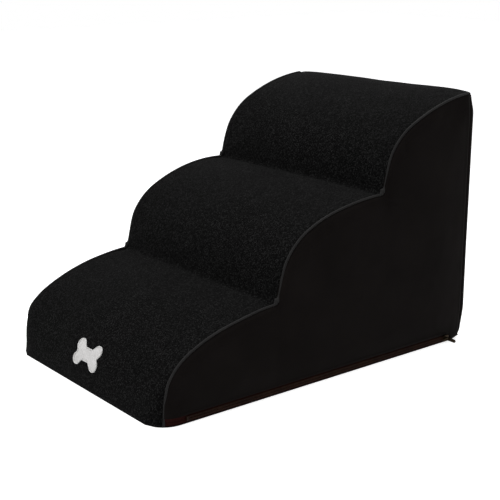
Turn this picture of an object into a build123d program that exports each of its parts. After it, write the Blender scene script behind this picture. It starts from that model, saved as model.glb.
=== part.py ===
# Three step pet stairs: a stepped foam block inside a zipped fabric cover.
# X runs across the stairs, Y from the low front step to the high back, Z up.
# The origin is the middle of the face that the stairs stand on.
import math
import os

from build123d import *

os.makedirs("parts", exist_ok=True)

# Steps, numbered from the low front one
overall_width = 400.0
tread_1_depth = 208.0
tread_2_depth = 202.0
tread_3_depth = 190.0
step_1_rise = 136.0
step_2_rise = 130.0
step_3_rise = 134.0

# Each step's face: a short leaning riser, then a nose arc, then a long tread arc
riser_height = 30.0
riser_lean = 7.0
nose_height = 96.0
nose_depth = 60.0
crease_radius = 6.0

# Corners seen from above, and the two rear edges seen from the side
front_corner_radius = 38.0
rear_corner_radius = 9.0
top_rear_radius = 4.0
bottom_rear_radius = 12.0

# Cloths
tread_fabric = 2.5
side_fabric = 1.5
back_fabric = 1.5
base_fabric = 1.4
base_edge_inset = 0.5

# Room left between two layers, and between a moving piece and what it passes
layer_gap = 0.2
running_gap = 0.3

# Piping along the edges of the treads
piping_diameter = 3.5
piping_cord_diameter = 1.7
piping_cord_gap = 0.1
piping_seat = 0.7
seam_overlap = 0.1
seam_foot_setback = 15.0
seam_knee_setback = 20.5
seam_knee_height = 47.0

# Zip along the foot of the right side
zip_height = 7.5
zip_hem_height = 12.9
zip_front_setback = 50.0
zip_rear_setback = 34.0
tape_width = 16.0
tape_thickness = 0.7
tape_front_setback = 19.5
coil_width = 2.8
coil_thickness = 2.4
coil_rounding = 0.7
row_gap = 1.0
stop_length = 3.0
stop_proud = 0.3
stop_rounding = 0.4

# Zip slider and its pull
slider_length = 11.0
slider_width = 9.6
slider_corner = 2.2
plate_thickness = 1.1
flange_thickness = 1.1
web_thickness = 0.4
web_length = 4.0
crown_length = 8.0
crown_width = 2.0
crown_thickness = 1.0
crown_rounding = 1.4
pull_length = 20.0
pull_width = 5.4
pull_thickness = 1.4
pull_bar_diameter = 1.6
pull_eye_length = 3.9
pull_end_radius = 2.6

# Bone figure on the first nose
bone_height = 48.0
bone_setback = 13.0
bone_lean = math.radians(28.0)
bone_lobe_radius = 9.8
bone_lobe_spacing_x = 46.4
bone_lobe_spacing_z = 21.6
bone_shaft_length = 56.0
bone_shaft_height = 21.0
bone_notch_radius = 2.0
bone_thickness = 0.8
bone_border_width = 1.6
bone_border_thickness = 0.5
patch_gap = 0.1

# Lengths that follow from the sizes above
overall_depth = tread_1_depth + tread_2_depth + tread_3_depth
overall_height = step_1_rise + step_2_rise + step_3_rise
front_y = -overall_depth / 2
rear_y = overall_depth / 2
half_width = overall_width / 2
overrun = overall_height / 8
cover_foot = base_fabric + layer_gap
foam_foot = cover_foot + tape_thickness + layer_gap
corner_y = front_y + front_corner_radius
back_seam_y = rear_y - rear_corner_radius
tape_front_y = front_y + tape_front_setback
tape_rear_y = back_seam_y - layer_gap
tape_inset = side_fabric + layer_gap
tape_face_x = half_width - tape_inset
coil_front_y = front_y + zip_front_setback
coil_rear_y = rear_y - zip_rear_setback
slider_y = coil_rear_y - running_gap - slider_length / 2

steps = (
    (tread_1_depth, step_1_rise),
    (tread_2_depth, step_2_rise),
    (tread_3_depth, step_3_rise),
)


def side_profile(inset, front, bottom, back, rounded=False):
    """Side view of the stairs between front and back and above bottom, its tread line moved in by inset."""
    with BuildSketch(Plane.YZ) as profile:
        with BuildLine():
            foot = Vector(front_y, 0)
            Line((front_y, -overrun), foot)
            creases = []
            for depth, rise in steps:
                creases.append(foot)
                riser = Line(foot, foot + Vector(riser_lean, riser_height))
                nose = TangentArc(riser @ 1, foot + Vector(nose_depth, nose_height), tangent=riser % 1)
                tread = TangentArc(nose @ 1, foot + Vector(depth, rise), tangent=nose % 1)
                foot = tread @ 1
            rear_end = Line(foot, foot + (tread % 1) * overrun) @ 1
            Polyline(rear_end, (rear_end.X, -overrun), (front_y, -overrun))
        make_face()
        corners = profile.vertices()
        fillet([corners.sort_by_distance(crease)[0] for crease in creases[1:]], crease_radius)
        if inset:
            offset(amount=-inset, kind=Kind.INTERSECTION)
        with Locations(((front + back) / 2, bottom + overall_height)):
            Rectangle(back - front, 2 * overall_height, mode=Mode.INTERSECT)
        if rounded:
            rear_corners = profile.vertices().group_by(Axis.X)[-1].sort_by(Axis.Y)
            fillet(rear_corners[0], bottom_rear_radius - (rear_y - back))
            rear_corners = profile.vertices().group_by(Axis.X)[-1].sort_by(Axis.Y)
            fillet(rear_corners[-1], top_rear_radius - (rear_y - back))
    return profile.sketch


def rounded_profile(inset, bottom, back):
    """Side view of the stairs as far as back, with the two rear corners rounded."""
    return side_profile(inset, front_y - overrun, bottom, back, rounded=True)


def plan_outline(height, side_inset, front_inset, back_inset):
    """Outline seen from above, drawn at height, with large front corners and small rear ones."""
    with BuildSketch(Plane.XY.offset(height)) as outline:
        with Locations((0, (front_inset - back_inset) / 2)):
            Rectangle(overall_width - 2 * side_inset, overall_depth - front_inset - back_inset)
        corners = outline.vertices().group_by(Axis.Y)
        fillet(corners[0], front_corner_radius - side_inset)
        fillet(corners[-1], rear_corner_radius - side_inset)
    return outline.sketch


def stairs_volume(profile, side_inset, front_inset, back_inset):
    """Solid that has the given side view, and the outline from above with the given insets."""
    with BuildPart() as volume:
        extrude(profile, amount=overall_width, both=True)
        extrude(
            plan_outline(-overrun, side_inset, front_inset, back_inset),
            amount=overall_height + 2 * overrun,
            mode=Mode.INTERSECT,
        )
    return volume.part


def seam_side_view(end_y):
    """Side view of the right hand piping: its run along the treads, and its run down the corner."""
    strip = side_profile(piping_seat, corner_y, -overrun, end_y)
    cut_lines = strip.edges().filter_by(Axis.Y) + strip.edges().filter_by(Axis.Z)
    tread_line = Wire([edge for edge in strip.edges() if edge not in cut_lines])
    if (tread_line @ 0).Y > (tread_line @ 1).Y:
        start, heading = tread_line @ 1, tread_line % 1
    else:
        start, heading = tread_line @ 0, (tread_line % 0) * -1
    knee = Vector(0, front_y + seam_knee_setback, seam_knee_height)
    foot = Vector(0, front_y + seam_foot_setback, 0)
    corner_line = Edge.make_spline([start, knee, foot], tangents=[heading, Vector(0, 0, -1)])
    return tread_line, corner_line


def seam_path(end_y):
    """Path of the right hand piping, from the floor up the rounded corner and on to end_y."""
    tread_line, corner_line = seam_side_view(end_y)
    corner = Solid.make_cylinder(
        front_corner_radius - piping_seat,
        overall_height,
        Plane((half_width - front_corner_radius, corner_y, -overrun)),
    )
    on_corner = corner_line.project_to_shape(corner, direction=(1, 0, 0)).sort_by(Axis.X)[-1]
    on_side = tread_line.moved(Location((half_width - piping_seat, 0, 0)))
    return Wire([*on_side.edges(), *on_corner.edges()])


def tube(path, radius, bore_radius=0):
    """Round tube along path."""
    with BuildPart() as whole:
        with BuildSketch(Plane(origin=path @ 0, z_dir=path % 0)):
            Circle(radius)
            if bore_radius:
                Circle(bore_radius, mode=Mode.SUBTRACT)
        sweep(path=path)
    return whole.part


def tape_strip(foot, outer_inset, width, height, front_setback):
    """Level strip inside the right side panel, from front_setback on the corner to the rear seam."""
    radius = front_corner_radius - outer_inset - width / 2
    centre_x = half_width - front_corner_radius
    centre_y = corner_y + tread_fabric - side_fabric
    wrap_angle = math.asin((centre_y - front_y - front_setback) / (front_corner_radius - tape_inset))
    with BuildPart() as strip:
        with BuildSketch(Plane.XY.offset(foot)):
            with BuildLine():
                Line((centre_x + radius, tape_rear_y), (centre_x + radius, centre_y))
                CenterArc((centre_x, centre_y), radius, 0, -math.degrees(wrap_angle))
            trace(line_width=width)
        extrude(amount=height)
    return strip.part


def coil_row(middle_z):
    """One row of teeth on the outer face of its tape."""
    with BuildPart() as row:
        with BuildSketch(Plane.XZ.offset(-coil_front_y)):
            with Locations((tape_face_x + coil_thickness / 2, middle_z)):
                section = Rectangle(coil_thickness, coil_width)
            fillet(section.vertices().group_by(Axis.X)[-1], coil_rounding)
        extrude(amount=coil_front_y - coil_rear_y)
    return row.part


def stop_clip(middle_y, middle_z, width):
    """Small clip on the teeth that the slider comes up against."""
    with BuildPart() as clip:
        with BuildSketch(Plane.YZ.offset(tape_face_x)):
            with Locations((middle_y, middle_z)):
                Rectangle(stop_length, width)
        extrude(amount=coil_thickness + stop_proud)
        fillet(clip.faces().sort_by(Axis.X)[-1].edges(), stop_rounding)
    return clip.part


def bone_layer(inset, start, thickness):
    """Bone figure moved in by inset, between two distances out from the first nose."""
    facing = Plane(
        origin=(0, front_y + bone_setback, bone_height),
        x_dir=(1, 0, 0),
        z_dir=(0, -math.cos(bone_lean), math.sin(bone_lean)),
    )
    with BuildPart() as layer:
        with BuildSketch(facing) as figure:
            Rectangle(bone_shaft_length, bone_shaft_height)
            with GridLocations(bone_lobe_spacing_x, bone_lobe_spacing_z, 2, 2):
                Circle(bone_lobe_radius)
            fillet(figure.vertices(), bone_notch_radius)
            if inset:
                offset(amount=-inset)
        extrude(amount=nose_depth, both=True)
        extrude(
            side_profile(-start - thickness, front_y - overrun, 0, corner_y),
            amount=half_width,
            both=True,
            mode=Mode.INTERSECT,
        )
        extrude(
            side_profile(-start, front_y - overrun, -overrun, corner_y + overrun),
            amount=half_width,
            both=True,
            mode=Mode.SUBTRACT,
        )
    return layer.part


# Whole outer form, and the space inside the cover
outside = stairs_volume(rounded_profile(0, 0, rear_y), 0, 0, 0)
inside = stairs_volume(
    rounded_profile(tread_fabric, base_fabric, rear_y - back_fabric),
    side_fabric,
    tread_fabric,
    back_fabric,
)

# Grooves that both lines of piping lie in, on the rounded corners and along the treads
groove_radius = max(
    piping_diameter / 2 + running_gap,
    math.hypot(side_fabric - piping_seat, tread_fabric - piping_seat) + seam_overlap,
)
groove_depth = piping_seat + groove_radius
corner_line = seam_side_view(back_seam_y)[1]
with BuildSketch(Plane.YZ) as corner_band:
    trace(Plane.YZ.to_local_coords(corner_line), line_width=2 * groove_radius)
    with Locations(Plane.YZ.to_local_coords(corner_line @ 0)):
        Circle(groove_radius)

with BuildPart() as corner_grooves:
    extrude(corner_band.sketch, amount=overall_width, both=True)
    extrude(
        plan_outline(-overrun, groove_depth, groove_depth, -overrun),
        amount=overall_height + 2 * overrun,
        mode=Mode.SUBTRACT,
    )

with BuildPart() as tread_grooves:
    extrude(
        side_profile(piping_seat - groove_radius, corner_y, -overrun, back_seam_y + layer_gap),
        amount=overall_width,
        both=True,
    )
    extrude(
        side_profile(groove_depth, corner_y - overrun, -overrun, rear_y),
        amount=overall_width,
        both=True,
        mode=Mode.SUBTRACT,
    )
    extrude(
        plan_outline(-overrun, groove_depth, groove_depth, -overrun),
        amount=overall_height + 2 * overrun,
        mode=Mode.SUBTRACT,
    )

# Foam block, with room along the foot of the right side for the zip tapes and the slider
slider_depth = tape_inset + tape_thickness + running_gap + plate_thickness
slider_room_height = zip_height + slider_width / 2 + running_gap
tape_top = zip_height + row_gap / 2 + tape_width
with BuildPart() as foam_core:
    add(
        stairs_volume(
            rounded_profile(tread_fabric + layer_gap, foam_foot, rear_y - back_fabric - layer_gap),
            side_fabric + layer_gap,
            tread_fabric + layer_gap,
            back_fabric + layer_gap,
        )
    )
    add(corner_grooves.part, mode=Mode.SUBTRACT)
    add(
        tape_strip(
            0,
            0,
            tape_inset + tape_thickness + layer_gap,
            tape_top + layer_gap,
            tape_front_setback - layer_gap,
        ),
        mode=Mode.SUBTRACT,
    )
    with BuildSketch(Plane.XY):
        with Locations((half_width, (tape_front_y + back_seam_y) / 2)):
            Rectangle(2 * (slider_depth + running_gap), back_seam_y - tape_front_y)
    extrude(amount=slider_room_height, mode=Mode.SUBTRACT)

# Cloth that the stairs stand on
with BuildPart() as base_panel:
    extrude(rounded_profile(0, 0, rear_y), amount=overall_width, both=True)
    extrude(
        plan_outline(0, base_edge_inset, base_edge_inset, base_edge_inset),
        amount=base_fabric,
        mode=Mode.INTERSECT,
    )

# Panel that closes the rear and wraps the two rear corners
with BuildPart() as back_panel:
    add(outside)
    add(inside, mode=Mode.SUBTRACT)
    extrude(
        side_profile(tread_fabric + layer_gap, back_seam_y, cover_foot, rear_y + overrun),
        amount=overall_width,
        both=True,
        mode=Mode.INTERSECT,
    )

# Rest of the cover, cut along the grooves into two side panels and the tread strip
with BuildPart() as cut_cover:
    add(outside)
    add(inside, mode=Mode.SUBTRACT)
    split(bisect_by=Plane.XY.offset(cover_foot), keep=Keep.TOP)
    extrude(
        side_profile(tread_fabric, back_seam_y - layer_gap, -overrun, rear_y + overrun),
        amount=overall_width,
        both=True,
        mode=Mode.SUBTRACT,
    )
    extrude(
        side_profile(tread_fabric, corner_y, -overrun, back_seam_y),
        amount=half_width - side_fabric,
        both=True,
        mode=Mode.SUBTRACT,
    )
    add(tread_grooves.part, mode=Mode.SUBTRACT)
    add(corner_grooves.part, mode=Mode.SUBTRACT)
left_cloth, middle_cloth, right_cloth = cut_cover.solids().sort_by(Axis.X)

with BuildPart() as side_panel_left:
    add(left_cloth)

with BuildPart() as tread_cover:
    add(middle_cloth)

# The right side panel ends in a hem above the zip
with BuildPart() as side_panel_right:
    add(right_cloth)
    split(bisect_by=Plane.XY.offset(zip_hem_height), keep=Keep.TOP)

# Piping: a sheath with a cord inside it
welt_path = seam_path(back_seam_y - layer_gap)
cord_radius = piping_cord_diameter / 2
with BuildPart() as piping_right:
    add(tube(welt_path, piping_diameter / 2, cord_radius + piping_cord_gap))
    split(bisect_by=Plane.XY.offset(cover_foot), keep=Keep.TOP)

with BuildPart() as piping_cord_right:
    add(tube(welt_path, cord_radius))
    split(bisect_by=Plane.XY.offset(cover_foot), keep=Keep.TOP)

with BuildPart() as piping_left:
    add(mirror(piping_right.part, about=Plane.YZ))

with BuildPart() as piping_cord_left:
    add(mirror(piping_cord_right.part, about=Plane.YZ))

# Zip tapes: the upper one goes up behind the side panel, the lower one turns in under the foam
with BuildPart() as zipper_tape_upper:
    add(tape_strip(tape_top - tape_width, tape_inset, tape_thickness, tape_width, tape_front_setback))

lower_tape_height = zip_height - row_gap / 2 - cover_foot
with BuildPart() as zipper_tape_lower:
    add(tape_strip(cover_foot, tape_inset, tape_thickness, lower_tape_height, tape_front_setback))
    add(
        tape_strip(
            cover_foot,
            tape_inset,
            tape_width - lower_tape_height,
            tape_thickness,
            tape_front_setback,
        )
    )

# Zip teeth and the stops at both ends of their run
row_offset = (row_gap + coil_width) / 2
with BuildPart() as zipper_coil_upper:
    add(coil_row(zip_height + row_offset))

with BuildPart() as zipper_coil_lower:
    add(coil_row(zip_height - row_offset))

with BuildPart() as zipper_stop_front:
    add(stop_clip(coil_front_y - stop_length / 2, zip_height, row_gap + 2 * coil_width))

with BuildPart() as zipper_stops_rear:
    add(stop_clip(coil_rear_y + stop_length / 2, zip_height + row_offset, coil_width))
    add(stop_clip(coil_rear_y + stop_length / 2, zip_height - row_offset, coil_width))

# Zip slider: two plates joined by a thin web, side flanges, and a crown that holds the pull
inner_plate_x = half_width - slider_depth
outer_plate_x = tape_face_x + coil_thickness + running_gap
crown_foot_x = outer_plate_x + plate_thickness
crown_eye = pull_bar_diameter + 2 * running_gap
with BuildPart() as zipper_slider:
    with BuildSketch(Plane.YZ.offset(inner_plate_x)):
        with Locations((slider_y, zip_height)):
            RectangleRounded(slider_length, slider_width, slider_corner)
    extrude(amount=plate_thickness)
    with BuildSketch(Plane.YZ.offset(outer_plate_x)):
        with Locations((slider_y, zip_height)):
            RectangleRounded(slider_length, slider_width, slider_corner)
    extrude(amount=plate_thickness)
    with BuildSketch(Plane.YZ.offset(tape_face_x + running_gap)):
        with Locations((slider_y, zip_height)):
            RectangleRounded(slider_length, slider_width, slider_corner)
            Rectangle(slider_length, slider_width - 2 * flange_thickness, mode=Mode.SUBTRACT)
    extrude(amount=coil_thickness)
    with BuildSketch(Plane.YZ.offset(inner_plate_x + plate_thickness)):
        with Locations((slider_y, zip_height)):
            Rectangle(web_length, web_thickness)
    extrude(amount=outer_plate_x - inner_plate_x - plate_thickness)
    with BuildSketch(Plane.XY.offset(zip_height - crown_width / 2)):
        with Locations((crown_foot_x + (crown_eye + crown_thickness) / 2, slider_y)):
            crown = Rectangle(crown_eye + crown_thickness, crown_length)
        fillet(crown.vertices().group_by(Axis.X)[-1], crown_rounding)
        with Locations((crown_foot_x + crown_eye / 2, slider_y)):
            Rectangle(crown_eye, crown_length - 2 * crown_thickness, mode=Mode.SUBTRACT)
    extrude(amount=crown_width)

# Pull: a flat tab with an eye, whose round bar lies under the crown
pull_x = crown_foot_x + crown_eye / 2
bar_radius = pull_bar_diameter / 2
tab_length = pull_length - bar_radius
pull_eye_width = crown_width + 2 * running_gap
with BuildPart() as zipper_pull:
    with BuildSketch(Plane.XZ.offset(-slider_y - pull_thickness / 2)):
        with Locations((pull_x + tab_length / 2, zip_height)):
            tab = Rectangle(tab_length, pull_width)
        fillet(tab.vertices().group_by(Axis.X)[-1], pull_end_radius)
        with Locations((pull_x + bar_radius + pull_eye_length / 2, zip_height)):
            Rectangle(pull_eye_length, pull_eye_width, mode=Mode.SUBTRACT)
    extrude(amount=pull_thickness)
    with BuildSketch(Plane.XY.offset(zip_height - pull_width / 2)):
        with Locations((pull_x, slider_y)):
            Circle(bar_radius)
    extrude(amount=pull_width)

# Bone figure on the first nose, and the raised border on its edge
with BuildPart() as bone_patch:
    add(bone_layer(0, patch_gap, bone_thickness))

with BuildPart() as bone_patch_border:
    add(bone_layer(0, 2 * patch_gap + bone_thickness, bone_border_thickness))
    add(
        bone_layer(bone_border_width, patch_gap, 2 * bone_thickness),
        mode=Mode.SUBTRACT,
    )

foam_core.part.label = "foam_core"
base_panel.part.label = "base_panel"
back_panel.part.label = "back_panel"
side_panel_left.part.label = "side_panel_left"
side_panel_right.part.label = "side_panel_right"
tread_cover.part.label = "tread_cover"
piping_right.part.label = "piping_right"
piping_left.part.label = "piping_left"
piping_cord_right.part.label = "piping_cord_right"
piping_cord_left.part.label = "piping_cord_left"
zipper_tape_upper.part.label = "zipper_tape_upper"
zipper_tape_lower.part.label = "zipper_tape_lower"
zipper_coil_upper.part.label = "zipper_coil_upper"
zipper_coil_lower.part.label = "zipper_coil_lower"
zipper_stop_front.part.label = "zipper_stop_front"
zipper_stops_rear.part.label = "zipper_stops_rear"
zipper_slider.part.label = "zipper_slider"
zipper_pull.part.label = "zipper_pull"
bone_patch.part.label = "bone_patch"
bone_patch_border.part.label = "bone_patch_border"

export_step(foam_core.part, "parts/foam_core.step")
export_step(base_panel.part, "parts/base_panel.step")
export_step(back_panel.part, "parts/back_panel.step")
export_step(side_panel_left.part, "parts/side_panel_left.step")
export_step(side_panel_right.part, "parts/side_panel_right.step")
export_step(tread_cover.part, "parts/tread_cover.step")
export_step(piping_right.part, "parts/piping_right.step")
export_step(piping_left.part, "parts/piping_left.step")
export_step(piping_cord_right.part, "parts/piping_cord_right.step")
export_step(piping_cord_left.part, "parts/piping_cord_left.step")
export_step(zipper_tape_upper.part, "parts/zipper_tape_upper.step")
export_step(zipper_tape_lower.part, "parts/zipper_tape_lower.step")
export_step(zipper_coil_upper.part, "parts/zipper_coil_upper.step")
export_step(zipper_coil_lower.part, "parts/zipper_coil_lower.step")
export_step(zipper_stop_front.part, "parts/zipper_stop_front.step")
export_step(zipper_stops_rear.part, "parts/zipper_stops_rear.step")
export_step(zipper_slider.part, "parts/zipper_slider.step")
export_step(zipper_pull.part, "parts/zipper_pull.step")
export_step(bone_patch.part, "parts/bone_patch.step")
export_step(bone_patch_border.part, "parts/bone_patch_border.step")
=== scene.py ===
"""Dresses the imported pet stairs: knit treads, smooth side cloth, piping, zip and bone patch."""
import math
from bisect import bisect_right

import bmesh
import bpy
from mathutils import Matrix, Vector, kdtree, noise


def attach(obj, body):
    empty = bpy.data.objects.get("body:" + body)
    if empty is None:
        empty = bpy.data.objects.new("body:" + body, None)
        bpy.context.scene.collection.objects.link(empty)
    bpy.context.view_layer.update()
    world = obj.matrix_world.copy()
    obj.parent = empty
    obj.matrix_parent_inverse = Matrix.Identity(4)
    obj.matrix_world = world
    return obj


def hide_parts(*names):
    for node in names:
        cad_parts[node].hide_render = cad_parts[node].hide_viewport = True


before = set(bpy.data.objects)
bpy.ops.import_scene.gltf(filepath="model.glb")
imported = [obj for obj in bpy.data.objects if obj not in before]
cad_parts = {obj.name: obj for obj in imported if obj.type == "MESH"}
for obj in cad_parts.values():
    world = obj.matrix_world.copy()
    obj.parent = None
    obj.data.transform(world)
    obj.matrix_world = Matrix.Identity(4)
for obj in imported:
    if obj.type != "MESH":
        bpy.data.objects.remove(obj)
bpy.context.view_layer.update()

# Lengths in metres. In the side view y counts from the front edge, as in the part's source.
DEPTH = 0.6
FRONT_Y = -DEPTH / 2.0
HALF_WIDTH = 0.2
STEP_SIZES = ((0.208, 0.136), (0.202, 0.130), (0.190, 0.134))
RISER = Vector((0.007, 0.030))
NOSE = Vector((0.0588, 0.0980))
CREASE_SETBACK = 0.0052
TOP_REAR_SETBACK = 0.0048
LINE_SPACING = 0.0005
BASE_TOP = 0.0016
CORNER_RADIUS = 0.038
CORNER_CENTRE_X = HALF_WIDTH - CORNER_RADIUS
REAR_CORNER_RADIUS = 0.009
REAR_FOOT_RADIUS = 0.012
SEAM_TOP_Z = 0.0806
BACK_SEAM_Y = 0.591
PIPING_SEAT = 0.0003
PIPING_SUNK = 0.0021
EDGE_ROUNDING_RIGHT = 0.0062
EDGE_ROUNDING_LEFT = 0.0030
PIPING_RADIUS = 0.00175
CORD_RADIUS = 0.00085
TREAD_CLOTH = 0.0025
SIDE_CLOTH = 0.0015
ZIP_HEM_Z = 0.0129
ZIP_END_Y = 0.5690
SEAM_KNEE = Vector((CORNER_RADIUS, SEAM_TOP_Z))
SEAM_CURVE = (SEAM_KNEE, SEAM_KNEE - Vector((0.01275, 0.01125)), Vector((0.015, 0.042)),
              Vector((0.015, 0.0)))


# ---- small curves and folds

def ease(value, start, end):
    """0 before start, 1 after end, and smooth between."""
    share = max(0.0, min(1.0, (value - start) / (end - start)))
    return share * share * (3.0 - 2.0 * share)


def hill(value, width):
    """A smooth bump of height 1 at value 0, gone by about twice its width."""
    return math.exp(-(value / width) ** 2)


def waviness(x, y, z, size):
    """Slow wandering between about -1 and 1 over lengths of about size."""
    return noise.noise(Vector((x, y, z)) / size)


def bezier(controls, share):
    """A point of the curve with those controls."""
    while len(controls) > 1:
        controls = [before.lerp(after, share) for before, after in zip(controls, controls[1:])]
    return controls[0]


def lengths_along(points):
    """How far along a line each of its points is."""
    lengths = [0.0]
    for before, after in zip(points, points[1:]):
        lengths.append(lengths[-1] + (after - before).length)
    return lengths


def point_at(points, lengths, along):
    """The point of a line at a distance along it."""
    low = max(0, min(bisect_right(lengths, along), len(lengths) - 1) - 1)
    share = (along - lengths[low]) / (lengths[low + 1] - lengths[low])
    return points[low].lerp(points[low + 1], share)


# ---- the stairs' side view

def arc_run(start, heading, end):
    """Points on the arc that leaves start along heading and ends at end, and its last heading."""
    towards = Vector((heading.y, -heading.x))
    chord = end - start
    radius = chord.length_squared / (2.0 * chord.dot(towards))
    centre = start + towards * radius
    sweep = 2.0 * heading.angle(chord)
    pieces = max(2, round(radius * sweep / LINE_SPACING))
    points = []
    for piece in range(1, pieces + 1):
        points.append(centre + Matrix.Rotation(-sweep * piece / pieces, 2) @ (start - centre))
    return points, Matrix.Rotation(-sweep, 2) @ heading


def straight_run(start, end):
    """Points on the straight line from start to end, without start."""
    pieces = max(2, round((end - start).length / LINE_SPACING))
    return [start.lerp(end, piece / pieces) for piece in range(1, pieces + 1)]


def soften(points, corner, setback):
    """Rounds the line at its point number corner, over setback on both sides."""
    reach = round(setback / LINE_SPACING)
    first = max(0, corner - reach)
    last = min(len(points) - 1, corner + reach)
    start, middle, end = points[first], points[corner].copy(), points[last]
    for index in range(first, last + 1):
        share = (index - first) / (last - first)
        points[index] = bezier((start, middle, end), share)


def stairs_line():
    """The cover's outer line from the front foot to the top rear edge, and its three creases."""
    foot = Vector((0.0, 0.0))
    points = [foot]
    corners = []
    for depth, rise in STEP_SIZES:
        points += straight_run(foot, foot + RISER)
        arc, heading = arc_run(foot + RISER, RISER.normalized(), foot + NOSE)
        points += arc
        end = foot + Vector((depth, rise))
        arc, _ = arc_run(foot + NOSE, heading, end)
        points += arc
        corners.append(len(points) - 1)
        foot = end
    points += straight_run(foot, foot - Vector((0.0, TOP_REAR_SETBACK)))
    for corner in corners[:-1]:
        soften(points, corner, CREASE_SETBACK)
    soften(points, corners[-1], TOP_REAR_SETBACK)
    return points, corners


LINE, CORNERS = stairs_line()
LINE_LENGTHS = lengths_along(LINE)
COVER_END = LINE_LENGTHS[-1]
CREASES = [LINE_LENGTHS[corner] for corner in CORNERS[:-1]]
SECOND_CREASE = (0.410, 0.266)


def line_point(along):
    """The point of the stairs' side view at the distance along from the front foot."""
    return point_at(LINE, LINE_LENGTHS, along)


def line_heading(along):
    """The direction of the line there, smoothed over a couple of millimetres."""
    reach = 0.001
    ahead = line_point(min(along + reach, COVER_END))
    return (ahead - line_point(max(along - reach, 0.0))).normalized()


def first_along(axis, value):
    """How far along the line it first reaches that depth (axis 0) or height (axis 1)."""
    for point, length in zip(LINE, LINE_LENGTHS):
        if point[axis] >= value:
            return length
    return COVER_END


COVER_START = first_along(1, BASE_TOP)
COVER_LENGTH = COVER_END - COVER_START
SEAM_TOP_ALONG = first_along(1, SEAM_TOP_Z)
SEAM_END = first_along(0, BACK_SEAM_Y)


def seam_setback(height):
    """How far behind the front edge the seam crosses the rounded corner at that height."""
    low, high = 0.0, 1.0
    for _ in range(24):
        share = (low + high) / 2.0
        if bezier(SEAM_CURVE, share).y > height:
            low = share
        else:
            high = share
    return bezier(SEAM_CURVE, low).x


def corner_angle(setback):
    """How far round the front corner a point is, as an angle from the front face."""
    return math.acos(max(-1.0, min(1.0, 1.0 - setback / CORNER_RADIUS)))


# ---- the treads' surface

CROWN = 0.0002
REAR_CROWN = 0.0040
SWELL = 0.0028
SWELL_TOP = 0.396
REAR_LIFT = 0.0025
REAR_FOOT_LIFT = 0.0054
LEFT_SAG = 0.0028
RIGHT_DIP = 0.0030
LEFT_FORWARD = 0.0030
TREAD_CAP = 0.0025
PANEL_CAP = 0.0030
SEAM_TUCK = 0.0008
tread_movement = None


def across_point(distance, setback, seam):
    """Plan position and heading angle at a distance from the middle, at one height of the face.

    setback is the face's own place behind the front edge, and seam that of the seam there."""
    side = 1.0 if distance >= 0.0 else -1.0
    distance = abs(distance)
    start_angle = corner_angle(setback)
    end_angle = corner_angle(seam)
    straight = CORNER_CENTRE_X + CORNER_RADIUS * math.sin(start_angle)
    bend = min(0.016, 0.9 * CORNER_RADIUS * (end_angle - start_angle))

    def sharp(reach):
        if reach <= straight:
            return Vector((reach, setback)), 0.0
        angle = start_angle + (reach - straight) / CORNER_RADIUS
        turned = Vector((math.sin(angle), 1.0 - math.cos(angle))) * CORNER_RADIUS
        return Vector((CORNER_CENTRE_X, 0.0)) + turned, angle

    place, angle = sharp(distance)
    if bend > 1e-6 and abs(distance - straight) < bend:
        first, _ = sharp(straight - bend)
        middle, _ = sharp(straight)
        last, last_angle = sharp(straight + bend)
        share = (distance - straight + bend) / (2.0 * bend)
        place = bezier((first, middle, last), share)
        angle = last_angle * share
    return Vector((side * place.x, place.y)), side * angle


def block_swell(y, z):
    """How far the stuffed block pushes its side and back cloths out near the rear corners."""
    return SWELL * ease(y, 0.30, 0.57) * ease(z, 0.0, 0.06) * ease(SWELL_TOP - z, 0.0, 0.03)


def rear_foot_lift(point):
    """How far the stuffed block's lower rear corners stand off the floor."""
    corner = ease(point.y, 0.272, 0.298) * ease(abs(point.x), 0.12, 0.19)
    return REAR_FOOT_LIFT * corner * ease(0.060 - point.z, 0.0, 0.060)


def settled(point):
    """Where a point of the cover ends up on the settled foam, which isn't quite even."""
    right, left = ease(point.x, 0.02, 0.19), ease(-point.x, 0.02, 0.19)
    above, below = ease(point.z, 0.03, 0.10), ease(0.2 - point.z, 0.0, 0.04)
    lift = REAR_LIFT * ease(point.y, 0.17, 0.28) * right * ease(point.z, 0.20, 0.39)
    lift += rear_foot_lift(point)
    sag = LEFT_SAG * left * above * ease(-point.y, 0.06, 0.15) * below
    first = hill(point.y + 0.155, 0.045) * above * below
    second = hill(point.y - 0.043, 0.045) * ease(point.z, 0.15, 0.23)
    dip = RIGHT_DIP * right * (first + second)
    forward = LEFT_FORWARD * left * hill(point.z - 0.285, 0.030)
    return point + Vector((0.0, -forward * ease(0.32 - point.y, 0.0, 0.12), lift - sag - dip))


def edge_rounding(along, sign):
    """How far the side cloth comes over the foam's rounded edge before it meets the piping."""
    size = EDGE_ROUNDING_RIGHT if sign > 0.0 else EDGE_ROUNDING_LEFT
    rear = 0.25 * ease(along, 0.46, 0.52) + 0.50 * ease(along, 0.60, 0.77)
    return size * ease(along, 0.0, 0.10) * (1.0 - rear)


def tread_reach(along, sign):
    """How far from the middle the cover's seam is on that side, measured on the cloth."""
    return full_reach(along) - edge_rounding(along, sign)


def full_reach(along):
    """How far from the middle the foam's edge is, measured on the cloth."""
    if along >= SEAM_TOP_ALONG:
        past = min(1.0, max(0.0, line_point(along).x - BACK_SEAM_Y) / REAR_CORNER_RADIUS)
        corner = REAR_CORNER_RADIUS * (1.0 - math.sqrt(1.0 - past * past))
        return HALF_WIDTH - corner
    point = line_point(along)
    seam = corner_angle(seam_setback(point.y))
    face = corner_angle(point.x)
    straight = CORNER_CENTRE_X + CORNER_RADIUS * math.sin(face)
    return min(HALF_WIDTH, straight + CORNER_RADIUS * max(0.0, seam - face))


def crease_gap(along):
    """How far along the line the nearer of the two creases is."""
    return min(abs(along - crease) for crease in CREASES)


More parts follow.
